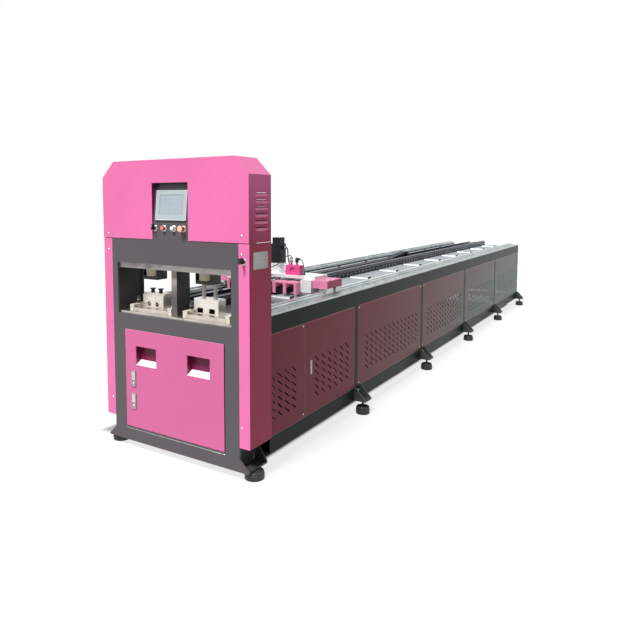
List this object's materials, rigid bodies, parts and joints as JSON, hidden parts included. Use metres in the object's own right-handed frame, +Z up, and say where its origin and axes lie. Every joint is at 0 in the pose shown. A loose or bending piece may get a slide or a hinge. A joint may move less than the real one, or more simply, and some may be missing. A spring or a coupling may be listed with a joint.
{
  "type": "pipe punching machine",
  "caption": "Hydraulic pipe punching machine: hooded press head with dies at the front of a long roller feed bed with a rack-driven servo carriage and pipe chucks",
  "frame": {"origin": "centre of the machine's footprint on the floor", "axes": "X across the machine to the right as the operator faces the head, Y from the head along the feed bed to its far end, Z up"},
  "size_m": [1.226, 6.592, 1.7],
  "materials": {
    "frame_grey": "satin dark grey paint",
    "hood_pink": "smooth satin pink powder coat",
    "door_rose": "smooth satin rose powder coat",
    "bed_green_grey": "satin dark green-grey paint",
    "panel_paint": "satin sheet panel paint, rose at the head fading to grey-green",
    "ground_steel": "ground steel plate",
    "tool_steel": "machined tool steel, light oil film",
    "black_steel": "black oxide",
    "bright_steel": "bright ground steel",
    "chromed_rod": "ground chromed rod and black striking block",
    "zinc": "zinc-plated steel",
    "aluminium": "machined aluminium",
    "tray_sheet": "pale sheet metal",
    "roller_steel": "turned steel",
    "motor_black": "satin black paint",
    "black_plastic": "matte black plastic",
    "white_plastic": "gloss white plastic",
    "red_plastic": "gloss red plastic",
    "hmi_plastic": "grey moulded housing with a dark glass face",
    "rubber_black": "black rubber pad on a steel stud"
  },
  "bodies": {
    "machine": {"front_plate": "frame_grey", "side_plates": "frame_grey", "back_plate": "frame_grey", "top_beam": "ground_steel", "table_plate": "ground_steel", "centre_column": "frame_grey", "base_frame": "frame_grey", "hood": "hood_pink", "side_covers": "hood_pink", "hmi_panel": "hmi_plastic", "switch_bezels": "bright_steel", "cylinders": "zinc", "die_bases": "ground_steel", "die_clamps": "black_steel", "die_left": "tool_steel", "die_right": "tool_steel", "hydraulic_unit": "zinc", "bed_rails": "bed_green_grey", "bed_posts": "bed_green_grey", "cross_members": "bed_green_grey", "bed_panels_right": "panel_paint", "bed_panels_left": "panel_paint", "bed_end_panel": "panel_paint", "foot_brackets": "bed_green_grey", "levelling_feet": "rubber_black", "mount_strips": "bright_steel", "guide_rails": "bright_steel", "centre_beam": "black_steel", "rack": "bright_steel", "drag_chain": "black_plastic", "roller_trays": "tray_sheet"},
    "carriage": {"slider_blocks": "bright_steel", "carriage_arms": "hood_pink", "carriage_bridge": "aluminium", "gearbox": "aluminium", "servo_motor": "motor_black", "chucks": "hood_pink", "chuck_cylinders": "hood_pink"},
    "pinion_gear": {"pinion": "bright_steel"},
    "left_jaws": {"jaws_left": "bright_steel"},
    "right_jaws": {"jaws_right": "bright_steel"},
    "left_ram": {"ram_left": "chromed_rod"},
    "right_ram": {"ram_right": "chromed_rod"},
    "left_punches": {"punches_left": "black_steel"},
    "door": {"front_door": "door_rose"},
    "selector": {"selector_knob": "black_plastic"},
    "side_selector": {"side_selector_knob": "black_plastic"},
    "start": {"start_button": "white_plastic"},
    "stop": {"stop_button": "red_plastic"},
    "emergency": {"emergency_button": "red_plastic"},
    "support_roller_1": {"roller_1": "roller_steel"},
    "support_roller_2": {"roller_2": "roller_steel"},
    "support_roller_3": {"roller_3": "roller_steel"},
    "support_roller_4": {"roller_4": "roller_steel"},
    "support_roller_5": {"roller_5": "roller_steel"},
    "support_roller_6": {"roller_6": "roller_steel"},
    "support_roller_7": {"roller_7": "roller_steel"},
    "support_roller_8": {"roller_8": "roller_steel"},
    "support_roller_9": {"roller_9": "roller_steel"},
    "support_roller_10": {"roller_10": "roller_steel"}
  },
  "joints": [
    {"name": "carriage_slide", "type": "slide", "parent": "machine", "child": "carriage", "axis": [0, 1, 0], "range_m": [-0.62, 5.25]},
    {"name": "pinion_spin", "type": "hinge", "parent": "carriage", "child": "pinion_gear", "pos_m": [-0.001, -2.164, 0.893], "axis": [0, 0, 1], "range_deg": [-8600, 8600]},
    {"name": "left_jaw_slide", "type": "slide", "parent": "carriage", "child": "left_jaws", "axis": [1, 0, 0], "range_m": [0, 0.012]},
    {"name": "right_jaw_slide", "type": "slide", "parent": "carriage", "child": "right_jaws", "axis": [1, 0, 0], "range_m": [0, 0.012]},
    {"name": "left_ram_slide", "type": "slide", "parent": "machine", "child": "left_ram", "axis": [0, 0, -1], "range_m": [0, 0.057]},
    {"name": "right_ram_slide", "type": "slide", "parent": "machine", "child": "right_ram", "axis": [0, 0, -1], "range_m": [0, 0.08]},
    {"name": "left_punch_slide", "type": "slide", "parent": "machine", "child": "left_punches", "axis": [0, 0, -1], "range_m": [0, 0.019], "stiffness_N_per_m": 3000, "springref_m": -0.004},
    {"name": "door_hinge", "type": "hinge", "parent": "machine", "child": "door", "pos_m": [0.362, -3.248, 0.43], "axis": [0, 0, 1], "range_deg": [0, 110]},
    {"name": "selector_turn", "type": "hinge", "parent": "machine", "child": "selector", "pos_m": [-0.114, -3.254, 1.32123], "axis": [0, 1, 0], "range_deg": [-45, 45]},
    {"name": "side_selector_turn", "type": "hinge", "parent": "machine", "child": "side_selector", "pos_m": [0.499, -3.254, 1.162], "axis": [0, 1, 0], "range_deg": [-45, 45]},
    {"name": "start_press", "type": "slide", "parent": "machine", "child": "start", "axis": [0, 1, 0], "range_m": [0, 0.006], "stiffness_N_per_m": 600, "springref_m": -0.002},
    {"name": "stop_press", "type": "slide", "parent": "machine", "child": "stop", "axis": [0, 1, 0], "range_m": [0, 0.006], "stiffness_N_per_m": 600, "springref_m": -0.002},
    {"name": "emergency_press", "type": "slide", "parent": "machine", "child": "emergency", "axis": [0, 1, 0], "range_m": [0, 0.006], "stiffness_N_per_m": 600, "springref_m": -0.002},
    {"name": "roller_spin_1", "type": "hinge", "parent": "machine", "child": "support_roller_1", "pos_m": [0, -2.414, 0.828], "axis": [1, 0, 0], "continuous": true},
    {"name": "roller_spin_2", "type": "hinge", "parent": "machine", "child": "support_roller_2", "pos_m": [0, -1.814, 0.828], "axis": [1, 0, 0], "continuous": true},
    {"name": "roller_spin_3", "type": "hinge", "parent": "machine", "child": "support_roller_3", "pos_m": [0, -1.214, 0.828], "axis": [1, 0, 0], "continuous": true},
    {"name": "roller_spin_4", "type": "hinge", "parent": "machine", "child": "support_roller_4", "pos_m": [0, -0.614, 0.828], "axis": [1, 0, 0], "continuous": true},
    {"name": "roller_spin_5", "type": "hinge", "parent": "machine", "child": "support_roller_5", "pos_m": [0, -0.014, 0.828], "axis": [1, 0, 0], "continuous": true},
    {"name": "roller_spin_6", "type": "hinge", "parent": "machine", "child": "support_roller_6", "pos_m": [0, 0.586, 0.828], "axis": [1, 0, 0], "continuous": true},
    {"name": "roller_spin_7", "type": "hinge", "parent": "machine", "child": "support_roller_7", "pos_m": [0, 1.186, 0.828], "axis": [1, 0, 0], "continuous": true},
    {"name": "roller_spin_8", "type": "hinge", "parent": "machine", "child": "support_roller_8", "pos_m": [0, 1.786, 0.828], "axis": [1, 0, 0], "continuous": true},
    {"name": "roller_spin_9", "type": "hinge", "parent": "machine", "child": "support_roller_9", "pos_m": [0, 2.386, 0.828], "axis": [1, 0, 0], "continuous": true},
    {"name": "roller_spin_10", "type": "hinge", "parent": "machine", "child": "support_roller_10", "pos_m": [0, 2.986, 0.828], "axis": [1, 0, 0], "continuous": true}
  ],
  "couplings": [
    {"joint": "pinion_spin", "follows": "carriage_slide", "rad_per_m": -27.778}
  ]
}
